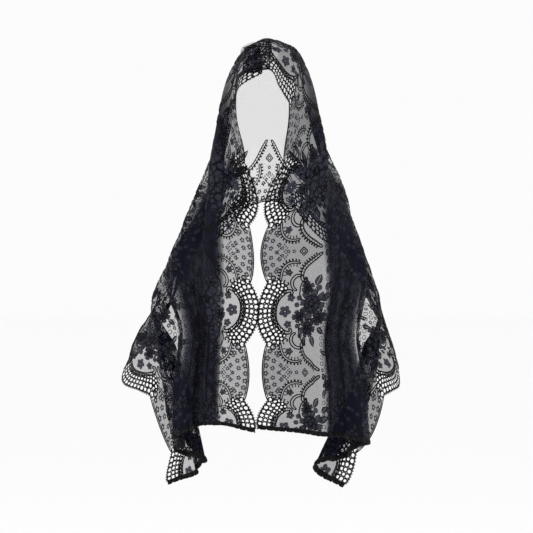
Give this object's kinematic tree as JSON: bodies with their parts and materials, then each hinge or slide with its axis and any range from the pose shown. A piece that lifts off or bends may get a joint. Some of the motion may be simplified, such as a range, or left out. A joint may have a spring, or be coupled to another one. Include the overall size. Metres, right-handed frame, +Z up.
{
  "type": "lace mantilla veil",
  "caption": "Scalloped lace mantilla veil in its worn form, tucked over the crown, falling down the chest and round the elbows.",
  "frame": {"origin": "where the crown of the wearer's head carries the veil, under its top", "axes": "+Z up, -Y the way the wearer's face looks, +X to the right of someone who looks at the veil from the front"},
  "size_m": [0.568, 0.3163, 0.9192],
  "materials": {
    "lace": "black silk-like tulle with woven flowers, slightly navy where it lies in folds",
    "edging": "scalloped lace edging with coarse round net and picots",
    "trim": "thick ruffled black braid sewn along the short ends"
  },
  "bodies": {
    "root": {"lace_panel": "lace", "front_scallop_edging": "edging", "back_scallop_edging": "edging", "hem_trim_left": "trim", "hem_trim_right": "trim"}
  },
  "joints": []
}
